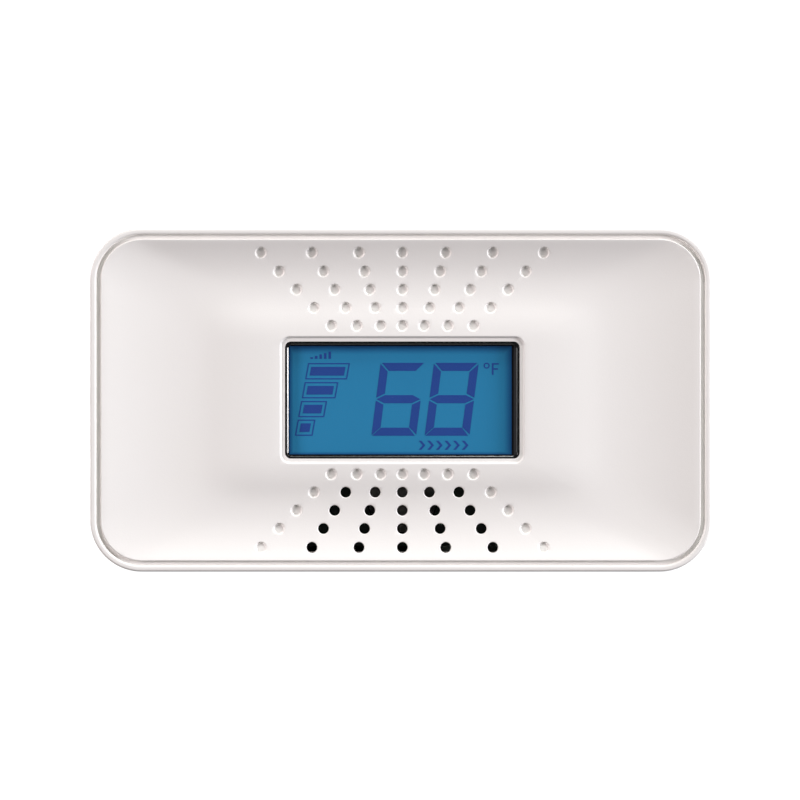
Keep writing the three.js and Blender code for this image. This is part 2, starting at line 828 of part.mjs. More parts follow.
function screwParts() {
  const parts = [];
  const seat = housingScrew.floor + housingScrew.floorThickness + 0.1;
  cornerPlaces(housingScrew.x, housingScrew.z).forEach(([x, z], i) => {
    const made = screw(x, z, housingScrew, seat);
    parts.push(mesh(`housing_screw_${i + 1}`, made, steel));
  });
  const boardSeat = board.back + 0.1;
  cornerPlaces(boardScrew.x, boardScrew.z).forEach(([x, z], i) => {
    const made = screw(x, z, boardScrew, boardSeat);
    parts.push(mesh(`board_screw_${i + 1}`, made, steel));
  });
  const s = switchBoard;
  switchScrewPlaces.forEach((x, i) => {
    const head = barY(x, bay.z, switchScrew.headRadius, s.front - 1.5, s.front - 0.1, 16);
    const shank = barY(x, bay.z, switchScrew.shankRadius, s.front - 0.5, s.back + 3.6, 10);
    parts.push(mesh(`switch_board_screw_${i + 1}`, join(head, shank), steel));
  });
  return parts;
}

function padPlaces() {
  return [
    [-pad.x, -pad.y],
    [pad.x, -pad.y],
    [-pad.x, pad.y],
    [pad.x, pad.y],
  ];
}

const padParts = () =>
  padPlaces().map(([x, y], i) =>
    mesh(`foot_pad_${i + 1}`, barZ(x, y, pad.radius - clearance, 0, pad.thickness - 0.1, 24), greyRubber),
  );

// ---------- the whole ----------

const alarm = new THREE.Group();
alarm.name = "carbon_monoxide_alarm";
alarm.add(
  mesh("rear_housing", rearHousing(), ivoryPlastic),
  mesh("front_cover", frontCover(), ivoryPlastic),
  ...displayParts(),
  ...buttonParts(),
  ...slideSwitch("activation", activation, ivoryPlastic),
  ...slideSwitch("unit", unit, blackResin),
  ...boardParts(),
  ...sensorParts(),
  ...sounderParts(),
  ...batteryParts(),
  ...screwParts(),
  ...padParts(),
);

export default alarm;
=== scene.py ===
import math

import bmesh
import bpy
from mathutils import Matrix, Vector


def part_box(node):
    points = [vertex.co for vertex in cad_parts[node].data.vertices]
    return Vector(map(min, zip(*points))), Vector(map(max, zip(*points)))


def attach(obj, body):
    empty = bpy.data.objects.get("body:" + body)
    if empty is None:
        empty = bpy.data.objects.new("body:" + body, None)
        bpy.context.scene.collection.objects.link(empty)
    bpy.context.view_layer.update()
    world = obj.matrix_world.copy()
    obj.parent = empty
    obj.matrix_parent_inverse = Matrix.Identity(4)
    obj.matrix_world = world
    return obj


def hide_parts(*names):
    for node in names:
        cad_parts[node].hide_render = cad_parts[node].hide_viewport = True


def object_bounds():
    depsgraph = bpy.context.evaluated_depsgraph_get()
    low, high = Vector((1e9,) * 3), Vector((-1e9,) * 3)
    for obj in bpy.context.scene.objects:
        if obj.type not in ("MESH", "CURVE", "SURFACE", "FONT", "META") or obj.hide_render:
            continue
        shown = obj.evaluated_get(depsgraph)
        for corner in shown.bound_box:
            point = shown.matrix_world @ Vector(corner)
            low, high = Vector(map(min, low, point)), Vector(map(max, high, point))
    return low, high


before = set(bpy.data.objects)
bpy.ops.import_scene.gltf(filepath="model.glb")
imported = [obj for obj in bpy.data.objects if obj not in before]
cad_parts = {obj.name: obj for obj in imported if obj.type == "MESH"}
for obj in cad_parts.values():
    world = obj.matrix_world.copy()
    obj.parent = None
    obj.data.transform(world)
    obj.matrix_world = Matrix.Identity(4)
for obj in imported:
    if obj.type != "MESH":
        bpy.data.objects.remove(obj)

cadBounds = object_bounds()
mm = 0.001


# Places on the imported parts, in millimetres.
def cadBox(node):
    low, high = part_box(node)
    return low / mm, high / mm


caseLow, caseHigh = cadBox("rear_housing")
frontY, backY = caseLow.y, caseHigh.y
halfWidth = (caseHigh.x - caseLow.x) / 2
height = caseHigh.z - caseLow.z
midZ = (caseHigh.z + caseLow.z) / 2
cornerRadius = 9.5


# Small helpers for working in edit mode.
def pick(piece):
    bpy.ops.object.select_all(action="DESELECT")
    piece.select_set(True)
    bpy.context.view_layer.objects.active = piece


def openMesh(piece, kind="EDGE"):
    pick(piece)
    bpy.ops.object.mode_set(mode="EDIT")
    bpy.ops.mesh.select_mode(type=kind)
    bpy.ops.mesh.select_all(action="DESELECT")


def closeMesh():
    bpy.ops.object.mode_set(mode="OBJECT")


def chooseEdges(piece, wanted):  # wanted looks at the two ends, in mm, and the edge
    shape = bmesh.from_edit_mesh(piece.data)
    for edge in shape.edges:
        a, b = (end.co / mm for end in edge.verts)
        if wanted(a, b, edge):
            edge.select_set(True)
    bmesh.update_edit_mesh(piece.data)


def chooseFaces(piece, wanted):  # wanted looks at the middle, in mm, and the normal
    shape = bmesh.from_edit_mesh(piece.data)
    for face in shape.faces:
        if wanted(face.calc_center_median() / mm, face.normal):
            face.select_set(True)
    bmesh.update_edit_mesh(piece.data)


def isSharp(edge, degrees=50):
    faces = edge.link_faces
    return len(faces) == 2 and faces[0].normal.angle(faces[1].normal, 0) > math.radians(degrees)


def bevelEdges(piece, wanted, size, steps=3, shape=0.5):
    openMesh(piece)
    chooseEdges(piece, wanted)
    bpy.ops.mesh.bevel(
        offset=size * mm, segments=steps, profile=shape, affect="EDGES", clamp_overlap=False
    )
    closeMesh()


def ringAt(axis, value, reach=0.01):  # sharp edges that lie in one plane
    return lambda a, b, edge: (
        abs(a[axis] - value) < reach and abs(b[axis] - value) < reach and isSharp(edge)
    )


def block(name, low, high, radius=0, steps=8, along=1):
    size = [high[i] - low[i] for i in range(3)]
    bpy.ops.object.select_all(action="DESELECT")
    bpy.ops.mesh.primitive_cube_add(
        size=1,
        location=[(high[i] + low[i]) / 2 * mm for i in range(3)],
        scale=[s * mm for s in size],
    )
    piece = bpy.context.active_object
    piece.name = name
    bpy.ops.object.transform_apply(location=True, rotation=True, scale=True)
    if radius:
        bevelEdges(
            piece, lambda a, b, edge: abs(a[along] - b[along]) > size[along] / 2, radius, steps
        )
    return piece


def rod(name, centre, radius, start, end, sides=32, along=1):
    turns = {0: (0, math.pi / 2, 0), 1: (math.pi / 2, 0, 0), 2: (0, 0, 0)}
    place = list(centre)
    place.insert(along, (start + end) / 2)
    bpy.ops.object.select_all(action="DESELECT")
    bpy.ops.mesh.primitive_cylinder_add(
        vertices=sides,
        radius=radius * mm,
        depth=(end - start) * mm,
        location=[c * mm for c in place],
        rotation=turns[along],
    )
    piece = bpy.context.active_object
    piece.name = name
    bpy.ops.object.transform_apply(location=True, rotation=True, scale=True)
    return piece


def joined(pieces):
    bpy.ops.object.select_all(action="DESELECT")
    for piece in pieces:
        piece.select_set(True)
    bpy.context.view_layer.objects.active = pieces[0]
    if len(pieces) > 1:
        bpy.ops.object.join()
    return bpy.context.view_layer.objects.active


def combine(piece, tools, how):
    tool = joined(tools)
    pick(piece)
    modifier = piece.modifiers.new(how.lower(), "BOOLEAN")
    modifier.operation = how
    modifier.solver = "EXACT"
    modifier.object = tool
    bpy.ops.object.modifier_apply(modifier=modifier.name)
    bpy.data.objects.remove(tool, do_unlink=True)


def copied(piece, name, shift):
    twin = piece.copy()
    twin.data = piece.data.copy()
    twin.name = name
    twin.location = [s * mm for s in shift]
    bpy.context.scene.collection.objects.link(twin)
    pick(twin)
    bpy.ops.object.transform_apply(location=True, rotation=True, scale=True)
    return twin


def tidyMesh(piece, reach=0.004):
    openMesh(piece, "VERT")
    bpy.ops.mesh.select_all(action="SELECT")
    bpy.ops.mesh.remove_doubles(threshold=reach * mm)
    bpy.ops.mesh.normals_make_consistent(inside=False)
    closeMesh()


def smooth(piece, degrees=35, weighted=True):
    pick(piece)
    bpy.ops.object.shade_smooth_by_angle(angle=math.radians(degrees))
    if weighted:
        modifier = piece.modifiers.new("weighted", "WEIGHTED_NORMAL")
        modifier.keep_sharp = True
        modifier.weight = 50
        bpy.ops.object.modifier_apply(modifier=modifier.name)


def settle(piece, body, finish, replaced=()):
    piece.data.materials.clear()
    piece.data.materials.append(finish)
    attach(piece, body)
    if replaced:
        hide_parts(*replaced)
    return piece


def linear(hexColour, alpha=1):
    channels = [int(hexColour[i:i + 2], 16) / 255 for i in (0, 2, 4)]
    return [c / 12.92 if c <= 0.04045 else ((c + 0.055) / 1.055) ** 2.4 for c in channels] + [alpha]


def addNode(tree, kind, settings=None, links=None):
    made = tree.nodes.new(kind)
    for key, value in (settings or {}).items():
        if isinstance(key, int) or key in made.inputs:
            made.inputs[key].default_value = value
        else:
            setattr(made, key, value)
    for key, source in (links or {}).items():
        tree.links.new(source, made.inputs[key])
    return made


def newFinish(name):
    finish = bpy.data.materials.new(name)
    finish.use_nodes = True
    finish.node_tree.nodes.clear()
    return finish, finish.node_tree


def closeFinish(tree, shader):
    addNode(tree, "ShaderNodeOutputMaterial", links={"Surface": shader.outputs[0]})


# A moulded or coated surface: two near colours mottled together, roughness that wanders a little,
# and a fine grain in the bump.
def grainyFinish(name, spec):
    finish, tree = newFinish(name)
    place = addNode(tree, "ShaderNodeTexCoord").outputs["Object"]
    grain = addNode(tree, "ShaderNodeTexNoise", {
        "Scale": 1 / (spec["grainMm"] * mm), "Detail": 2, "Roughness": 0.55,
    }, {"Vector": place})
    mottle = addNode(tree, "ShaderNodeTexNoise", {
        "Scale": 1 / (spec["mottleMm"] * mm), "Detail": 3, "Roughness": 0.5,
    }, {"Vector": place})
    colour = addNode(tree, "ShaderNodeMix", {
        "data_type": "RGBA", 6: linear(spec["colour"]), 7: linear(spec["shade"]),
    }, {0: mottle.outputs[0]})
    rough = addNode(tree, "ShaderNodeMapRange", {
        "From Min": 0.3, "From Max": 0.7,
        "To Min": spec["rough"] - spec["roughSpread"], "To Max": spec["rough"] + spec["roughSpread"],
    }, {"Value": mottle.outputs[0]})
    bump = addNode(tree, "ShaderNodeBump", {
        "Strength": spec["bump"], "Distance": spec["grainMm"] * mm * 0.3,
    }, {"Height": grain.outputs[0]})
    shader = addNode(tree, "ShaderNodeBsdfPrincipled", {
        "Metallic": spec.get("metal", 0), "Coat Weight": spec.get("coat", 0),
        "Coat Roughness": spec.get("coatRough", 0.03), "Subsurface Weight": spec.get("glow", 0),
        "Subsurface Scale": 0.002,
    }, {
        "Base Color": colour.outputs[2], "Roughness": rough.outputs[0], "Normal": bump.outputs[0],
    })
    if "ior" in spec:
        shader.inputs["IOR"].default_value = spec["ior"]
    closeFinish(tree, shader)
    return finish


# Ivory ABS from a spark-eroded mould: a soft, even sheen. The real grain is near 0.1 mm and is
# drawn at 0.3 mm so that it shows.
ivoryAbs = grainyFinish("moulded ivory ABS", {
    "colour": "F3F0EC", "shade": "F1EEE9", "rough": 0.42, "roughSpread": 0.03,
    "grainMm": 0.3, "mottleMm": 9, "bump": 0.12, "ior": 1.54,
})

# Black ABS from a polished mould: sharp bright highlights on its edges and near black elsewhere.
blackGlossAbs = grainyFinish("polished black ABS", {
    "colour": "070708", "shade": "0A0A0B", "rough": 0.08, "roughSpread": 0.02,
    "grainMm": 0.6, "mottleMm": 6, "bump": 0.006, "ior": 1.54,
})

# Matt black ABS of the unit knob and of the holders and hoods inside.
blackAbs = grainyFinish("moulded black ABS", {
    "colour": "17181A", "shade": "1D1E20", "rough": 0.5, "roughSpread": 0.05,
    "grainMm": 0.3, "mottleMm": 3, "bump": 0.15, "ior": 1.54,
})

naturalAbs = grainyFinish("moulded natural ABS", {  # unpigmented, a little yellow
    "colour": "D9D5C8", "shade": "D2CDBE", "rough": 0.5, "roughSpread": 0.05,
    "grainMm": 0.3, "mottleMm": 5, "bump": 0.12, "ior": 1.54,
})

frostedAcrylic = grainyFinish("frosted acrylic diffuser", {  # milky, soft
    "colour": "E9F1F5", "shade": "DCE8EE", "rough": 0.6, "roughSpread": 0.05,
    "grainMm": 0.2, "mottleMm": 6, "bump": 0.1, "ior": 1.49,
})

siliconeRubber = grainyFinish("dark silicone rubber", {  # dull with a dry bloom
    "colour": "595A5E", "shade": "4C4D50", "rough": 0.8, "roughSpread": 0.08,
    "grainMm": 0.25, "mottleMm": 2, "bump": 0.2, "ior": 1.43,
})

greyRubber = grainyFinish("moulded grey rubber", {  # matt, with dust in its grain
    "colour": "5C5D60", "shade": "6B6C6E", "rough": 0.85, "roughSpread": 0.08,
    "grainMm": 0.25, "mottleMm": 1.5, "bump": 0.4, "ior": 1.52,
})

blackEpoxy = grainyFinish("moulded black epoxy", {  # the dull body of a chip or switch
    "colour": "18191B", "shade": "212224", "rough": 0.55, "roughSpread": 0.06,
    "grainMm": 0.15, "mottleMm": 1, "bump": 0.25, "ior": 1.55,
})

platedSteel = grainyFinish("zinc plated steel", {  # pale, with cloudy patches in its shine
    "colour": "C3C7CB", "shade": "A9AEB3", "rough": 0.33, "roughSpread": 0.1,
    "grainMm": 0.15, "mottleMm": 1.2, "bump": 0.1, "metal": 1,
})

silveredCeramic = grainyFinish("silvered piezo ceramic", {  # a flat, dull pale film
    "colour": "CFCDCC", "shade": "C2C0BF", "rough": 0.6, "roughSpread": 0.06,
    "grainMm": 0.12, "mottleMm": 2, "bump": 0.1, "ior": 1.5,
})

rolledBrass = grainyFinish("rolled brass sheet", {  # dull gold, slightly tarnished
    "colour": "C7A65C", "shade": "A5833F", "rough": 0.38, "roughSpread": 0.1,
    "grainMm": 0.12, "mottleMm": 2, "bump": 0.1, "metal": 1,
})

solderMask = grainyFinish("green solder mask over FR4", {  # dark lacquer, glass weave under it
    "colour": "0E3A22", "shade": "0A2E1A", "rough": 0.38, "roughSpread": 0.06,
    "grainMm": 0.5, "mottleMm": 1.1, "bump": 0.12, "ior": 1.5, "coat": 0.25,
})

shrinkSleeve = grainyFinish("blue PVC shrink sleeve", {  # glossy film with slight ripples
    "colour": "2B4C8C", "shade": "25427B", "rough": 0.28, "roughSpread": 0.05,
    "grainMm": 1.6, "mottleMm": 6, "bump": 0.15, "ior": 1.53,
})


# Clear acrylic, polished both sides: it shows only as a faint gloss over the display.
def clearFinish():
    finish, tree = newFinish("clear polished acrylic")
    place = addNode(tree, "ShaderNodeTexCoord").outputs["Object"]
    haze = addNode(tree, "ShaderNodeTexNoise", {"Scale": 1 / (6 * mm), "Detail": 2}, {"Vector": place})
    rough = addNode(tree, "ShaderNodeMapRange", {"To Min": 0.03, "To Max": 0.07}, {
        "Value": haze.outputs[0]})
    shader = addNode(tree, "ShaderNodeBsdfPrincipled", {
        "Base Color": linear("2A3034"), "IOR": 1.49, "Alpha": 0.04,
    }, {"Roughness": rough.outputs[0]})
    closeFinish(tree, shader)
    return finish


clearAcrylic = clearFinish()


# A lit liquid crystal panel under glass: even blue, darker at its edges (its own falloff and painted
# shade from the bezel lip, most at top and right), in a black mask with a painted grey reflection at
# its right.
lcdLook = {
    # the edge blue is partly painted shade cast by the bezel lip
    "blue": "2B7FAB", "edgeShadeBlue": "164C82", "mask": "050506", "paintedReflection": "3C3C3F", "glow": 0.12,
    "cell": "294A92", "cellShade": "27448A", "cloudMm": 7, "uneven": 0.1,
    "left": -20.65, "right": 20.6, "low": -10.1, "high": 10.05,
    # how far the painted edge shade reaches in from each side
    "leftFade": 0.8, "rightFade": 1.5, "lowFade": 0.6, "highFade": 1.6,
    # where the painted grey reflection in the mask begins and where it is full
    "reflectionStart": 20.85, "reflectionEnd": 21.1,
}


def lcdFinish():
    finish, tree = newFinish("backlit liquid crystal glass")
    place = addNode(tree, "ShaderNodeTexCoord").outputs["Object"]
    parts = addNode(tree, "ShaderNodeSeparateXYZ", links={0: place})

    def apart(source, value, reach):  # distance in from one side, 0 to 1
        return addNode(tree, "ShaderNodeMapRange", {
            "From Min": value * mm, "From Max": (value + reach) * mm,
        }, {"Value": source}).outputs[0]

    # distance in from each side, which sets the painted edge shade
    sides = [
        apart(parts.outputs[0], lcdLook["left"], lcdLook["leftFade"]),
        apart(parts.outputs[0], lcdLook["right"], -lcdLook["rightFade"]),
        apart(parts.outputs[2], midZ + lcdLook["low"], lcdLook["lowFade"]),
        apart(parts.outputs[2], midZ + lcdLook["high"], -lcdLook["highFade"]),
    ]
    share = sides[0]
    for side in sides[1:]:
        least = addNode(tree, "ShaderNodeMath", {"operation": "MINIMUM"}, {0: share, 1: side})
        share = least.outputs[0]
    cloud = addNode(tree, "ShaderNodeTexNoise", {
        "Scale": 1 / (lcdLook["cloudMm"] * mm), "Detail": 2,
    }, {"Vector": place})
    uneven = addNode(tree, "ShaderNodeMapRange", {
        "To Min": -lcdLook["uneven"], "To Max": lcdLook["uneven"],
    }, {"Value": cloud.outputs[0]})
    mixed = addNode(tree, "ShaderNodeMath", {"operation": "ADD", "use_clamp": True}, {
        0: share, 1: uneven.outputs[0]})
    # edge blue to full blue: the edges carry painted shade from the bezel
    blue = addNode(tree, "ShaderNodeMix", {
        "data_type": "RGBA", 6: linear(lcdLook["edgeShadeBlue"]), 7: linear(lcdLook["blue"]),
    }, {0: mixed.outputs[0]})
    inGlass = addNode(tree, "ShaderNodeMath", {"operation": "GREATER_THAN", 1: 0.01}, {0: share})
    # painted grey reflection over the black mask at the right side
    paintedReflection = addNode(tree, "ShaderNodeMapRange", {
        "From Min": lcdLook["reflectionStart"] * mm, "From Max": lcdLook["reflectionEnd"] * mm,
    }, {"Value": parts.outputs[0]})
    mask = addNode(tree, "ShaderNodeMix", {
        "data_type": "RGBA", 6: linear(lcdLook["mask"]), 7: linear(lcdLook["paintedReflection"]),
    }, {0: paintedReflection.outputs[0]})
    colour = addNode(tree, "ShaderNodeMix", {"data_type": "RGBA"}, {
        0: inGlass.outputs[0], 6: mask.outputs[2], 7: blue.outputs[2]})
    shader = addNode(tree, "ShaderNodeBsdfPrincipled", {
        "Roughness": 0.3, "IOR": 1.5, "Emission Strength": lcdLook["glow"], "Specular IOR Level": 0.2,
    }, {"Base Color": colour.outputs[2], "Emission Color": colour.outputs[2]})
    closeFinish(tree, shader)
    return finish


litGlass = lcdFinish()


# The darkened cells of the display: an even deep blue.
def segmentFinish():
    finish, tree = newFinish("darkened liquid crystal cells")
    place = addNode(tree, "ShaderNodeTexCoord").outputs["Object"]
    cloud = addNode(tree, "ShaderNodeTexNoise", {"Scale": 1 / (4 * mm), "Detail": 2}, {"Vector": place})
    colour = addNode(tree, "ShaderNodeMix", {
        "data_type": "RGBA", 6: linear(lcdLook["cell"]), 7: linear(lcdLook["cellShade"]),
    }, {0: cloud.outputs[0]})
    shader = addNode(tree, "ShaderNodeBsdfPrincipled", {
        "Roughness": 0.3, "IOR": 1.5, "Emission Strength": lcdLook["glow"], "Specular IOR Level": 0.2,
    }, {"Base Color": colour.outputs[2], "Emission Color": colour.outputs[2]})
    closeFinish(tree, shader)
    return finish


darkCells = segmentFinish()
print("materials made")


cover = {
    "inset": 1.97,          # face outline, in from the case outline
    "thickness": 4,
    "edgeRound": 0.25,
    "flangeInset": 1.17,    # closes against the rim
    "flangeStep": 0.72,
    "skirtInset": 3.9, "skirtWall": 1.6, "skirtDepth": 2.8, "skirtGapX": 20, "skirtGapZ": 7,
    "pillarX": 48.3, "pillarZ": 23.05, "pillarRadius": 3.4, "pillarEnd": 1.7,
    "pillarBore": 1.7, "pillarBoreDepth": 10,
    "bossX": 39.5, "bossZ": 22.2, "bossRadius": 2.8, "bossEnd": -7.9,
    "bossBore": 1.4, "bossBoreDepth": 5.5,
    "gridX": 1.5, "gridZ": 1.0,   # spacing of the cuts that let the face be dished
    "faceSkin": 1.6,              # what lies this far behind the edge is carried in with the face
    "overlap": 0.5,               # joined pieces reach this far into each other
}
dish = {"depth": 2.2, "scoopX": 16.7, "scoopZ": 8.7}
mound = {
    "rise": 1.05, "crownX": 23.4, "shoulderX": 34.5, "footX": 38.8,
    "crownZ": 11.1, "shoulderZ": 16.3, "footZ": 20.6,
}
holes = {
    "radius": 1.0, "rows": [13.74, 17.09, 20.47, 23.84, 27.31], "middleX": 0.3,
    "columns": 3, "firstOffset": 4.04, "offsetGrowth": 0.176,
    "dimpleDepth": 0.55, "floorRound": 0.3, "sides": 24,
    "rimRound": 0.2, "rimAngles": (30, 60), "rimPast": 0.05,
}
window = {
    "left": -22.32, "right": 22.92, "halfHeight": 11.72, "radius": 1.7,
    "ledge": 0.45,          # the ledge lies this far down
    "stepRun": 0.27,        # a 45 degree slope at the foot of the step
    "edgeRound": 0.12,
    "openLeft": -21.45, "openRight": 22.05, "openHalfHeight": 10.85, "openRadius": 1.1,
    "nearX": 30, "nearZ": 14,     # all edges of the window lie within these
    "pocketX": 2, "pocketZ": 0.2, "pocketFront": 0.3,  # room behind it for the display's frame
}

faceHalfX = halfWidth - cover["inset"]
faceHalfZ = height / 2 - cover["inset"]
faceRadius = cornerRadius - cover["inset"]
coverBack = frontY + cover["thickness"]


def scoopStage(x, z):  # 0 on the outline of the face, 1 in the valley
    fromCornerX, fromCornerZ = x - (faceHalfX - faceRadius), z - (faceHalfZ - faceRadius)
    stageX, stageZ = (faceHalfX - x) / dish["scoopX"], (faceHalfZ - z) / dish["scoopZ"]
    if fromCornerZ + dish["scoopZ"] * stageX <= 0:
        return stageX
    if fromCornerX + dish["scoopX"] * stageZ <= 0:
        return stageZ
    a = dish["scoopX"] ** 2 + dish["scoopZ"] ** 2
    b = dish["scoopX"] * fromCornerX + dish["scoopZ"] * fromCornerZ
    c = fromCornerX ** 2 + fromCornerZ ** 2 - faceRadius ** 2
    return (-b + math.sqrt(max(0, b * b - a * c))) / a


def moundShare(distance, crown, shoulder, foot):
    if distance <= crown:
        return 1
    if distance >= foot:
        return 0
    if distance <= shoulder:
        return 1 - (distance - crown) ** 2 / ((shoulder - crown) * (foot - crown))
    return (foot - distance) ** 2 / ((foot - shoulder) * (foot - crown))


def faceSink(x, z):  # how far the face lies behind its outline
    ax, az = abs(x), abs(z)
    stage = min(1, max(0, scoopStage(ax, az)))
    raised = mound["rise"] * moundShare(ax, mound["crownX"], mound["shoulderX"], mound["footX"])
    raised *= moundShare(az, mound["crownZ"], mound["shoulderZ"], mound["footZ"])
    return dish["depth"] * (1 - (1 - stage) ** 2) - raised


def fullPlate(name, inset, y0, y1, steps=14):
    return block(
        name,
        (caseLow.x + inset, y0, caseLow.z + inset),
        (caseHigh.x - inset, y1, caseHigh.z - inset),
        cornerRadius - inset,
        steps,
    )


def corners(x, z):
    return [(sx * x, midZ + sz * z) for sz in (-1, 1) for sx in (-1, 1)]


def holeTool(name, end):  # a drill with a flared lip, its lip on the flat face
    r, lip = holes["radius"], holes["rimRound"]
    tool = rod(name, (0, 0), r, frontY + lip, end, holes["sides"])
    openMesh(tool, "FACE")
    chooseFaces(tool, lambda middle, normal: normal.y < -0.9)
    at, now = frontY + lip, r
    flare = []
    for degrees in holes["rimAngles"]:
        a = math.radians(degrees)
        flare.append((frontY + lip * (1 - math.sin(a)), r + lip * (1 - math.cos(a))))
    over = holes["rimPast"]  # past the surface, so that the lip opens to its full width on it
    slope = (r + lip - flare[1][1]) / (flare[1][0] - frontY)
    flare.append((frontY - over, r + lip + slope * over))
    flare.append((frontY - 1, r + lip + slope * over))
    for y, radius in flare:
        bpy.ops.mesh.extrude_region_move(TRANSFORM_OT_translate={"value": (0, (y - at) * mm, 0)})
        bpy.ops.transform.resize(
            value=(radius / now, 1, radius / now), center_override=(0, y * mm, 0)
        )
        at, now = y, radius
    closeMesh()
    return tool


def makeFrontCover():
    c = cover
    face = fullPlate("front_cover_shell", c["inset"], frontY, coverBack)
    bevelEdges(face, ringAt(1, frontY), c["edgeRound"], 4)
    flange = fullPlate("flange", c["flangeInset"], frontY + c["flangeStep"], coverBack)
    skirtEnd = coverBack + c["skirtDepth"]
    skirt = fullPlate("skirt", c["skirtInset"], coverBack - c["overlap"], skirtEnd)
    inner = fullPlate("inner", c["skirtInset"] + c["skirtWall"], coverBack - 1, skirtEnd + 1)
    combine(skirt, [inner], "DIFFERENCE")
    gap = block("gap", (-c["skirtGapX"], coverBack, -1), (c["skirtGapX"], skirtEnd + 1, c["skirtGapZ"]))
    combine(skirt, [gap], "DIFFERENCE")
    combine(face, [flange], "UNION")
    combine(face, [skirt], "UNION")
    posts, bores = [], []
    for kind, sides, boreSides in (("pillar", 32, 20), ("boss", 20, 16)):
        end = c[kind + "End"]
        boreStart = end - c[kind + "BoreDepth"]
        for place in corners(c[kind + "X"], c[kind + "Z"]):
            posts.append(rod("post", place, c[kind + "Radius"], coverBack - c["overlap"], end, sides))
            bores.append(rod("bore", place, c[kind + "Bore"], boreStart, end + 1, boreSides))
    combine(face, posts, "UNION")
    combine(face, bores, "DIFFERENCE")

    w = window
    floor = frontY + w["ledge"]
    recess = block("recess", (w["left"], frontY - 1, midZ - w["halfHeight"]),
                   (w["right"], floor, midZ + w["halfHeight"]), w["radius"], 8)
    bevelEdges(recess, ringAt(1, floor), w["stepRun"], 1)
    combine(face, [recess], "DIFFERENCE")
    opening = block("opening", (w["openLeft"], frontY - 1, midZ - w["openHalfHeight"]),
                    (w["openRight"], coverBack + 1, midZ + w["openHalfHeight"]), w["openRadius"], 8)
    combine(face, [opening], "DIFFERENCE")
    bevelEdges(face, lambda a, b, edge: isSharp(edge, 30) and all(
        abs(end.y - frontY) < 0.01 and abs(end.x) < w["nearX"] and abs(end.z - midZ) < w["nearZ"]
        for end in (a, b)
    ), w["edgeRound"], 3)
    bezelLow, bezelHigh = cadBox("display_bezel")
    pocket = block(
        "pocket", (bezelLow.x - w["pocketX"], floor + w["pocketFront"], bezelLow.z - w["pocketZ"]),
        (bezelHigh.x + w["pocketX"], coverBack + 1, bezelHigh.z + w["pocketZ"]),
    )
    combine(face, [pocket], "DIFFERENCE")
    print("front cover: outline, window and posts")

    through = holeTool("through", coverBack + c["overlap"])
    dimple = holeTool("dimple", frontY + holes["dimpleDepth"])
    bevelEdges(dimple, ringAt(1, frontY + holes["dimpleDepth"]), holes["floorRound"], 3)
    tools = []
    for side in (1, -1):
        for row, distance in enumerate(holes["rows"]):
            for column in range(-holes["columns"], holes["columns"] + 1):
                k = abs(column)
                first = holes["firstOffset"] * k + holes["offsetGrowth"] * k * (k - 1)
                x = holes["middleX"] + math.copysign(first, column) * distance / holes["rows"][0]
                isThrough = side < 0 and row > 0 and k < holes["columns"]
                start = through if isThrough else dimple
                tools.append(copied(start, "hole", (x, 0, midZ + side * distance)))
    for start in (through, dimple):
        bpy.data.objects.remove(start, do_unlink=True)
    combine(face, tools, "DIFFERENCE")
    print("front cover: holes")

    openMesh(face, "FACE")
    chooseFaces(face, lambda middle, normal: normal.y < -0.999 and middle.y < frontY + 0.02)
    bpy.ops.mesh.hide(unselected=True)
    for axis, step, half, middle in ((0, c["gridX"], faceHalfX, 0), (2, c["gridZ"], faceHalfZ, midZ)):
        count = int(half / step)
        for i in range(-count, count + 1):
            place, direction = [0, 0, 0], [0, 0, 0]
            place[axis], direction[axis] = (middle + i * step) * mm, 1
            bpy.ops.mesh.select_all(action="SELECT")
            bpy.ops.mesh.bisect(plane_co=place, plane_no=direction)
    bpy.ops.mesh.reveal(select=False)
    closeMesh()
    tidyMesh(face)
    for vertex in face.data.vertices:
        x, y, z = vertex.co / mm
        if y < frontY + c["faceSkin"]:
            vertex.co.y += faceSink(x, z - midZ) * mm
    smooth(face, 35)
    return face


frontCover = settle(makeFrontCover(), "root", ivoryAbs, ["front_cover"])
print("front cover: face dished,", len(frontCover.data.polygons), "faces")


case = {
    "wall": 2.4, "rimThickness": 1.2, "ledgeDepth": 4.4, "ledgeInset": 3.6, "ledgeThickness": 2,
    "frontRound": 0.42, "rimInnerRound": 0.52, "backRound": 2.5,
    "screwX": 48.3, "screwZ": 23.05, "screwFloor": 2, "screwFloorThickness": 2.2,
    "tubeRadius": 4.6, "wellRadius": 3.3, "boreRadius": 1.7, "mouthRound": 0.18, "holeRound": 0.25,
    "keyholeX": 32, "keyholeZ": 42, "headRadius": 4.4, "neckRadius": 2.3, "rise": 8,
    "pocketDepth": 5, "pocketSkin": 1.2, "pocketMargin": 0.8, "pocketRise": 3,
    "bayDepth": 1.2, "bayMargin": 2.6, "bayZ": 13, "bayRadius": 1.5, "bayFloorRound": 0.4,
    "slotHalfHeight": 2.2, "slots": [(-5.3, 5.3), (-25.3, -17.7)], "slotRound": 0.4,
    "labelHalfX": 20, "labelLow": 23.5, "labelHigh": 33.5, "labelDepth": 0.3, "labelRound": 1,
    "buttonX": 30, "buttonY": -1, "buttonHalfX": 9.3, "buttonHalfY": 4.8, "buttonRadius": 2.3,
    "ventY": -5, "ventPitch": 3.6, "ventWidth": 1.8, "ventLow": 14, "ventHigh": 34, "ventCount": 5,
    "ventReach": 4,
    "padX": 42, "padY": 11, "padRadius": 4, "padDepth": 0.8,
}


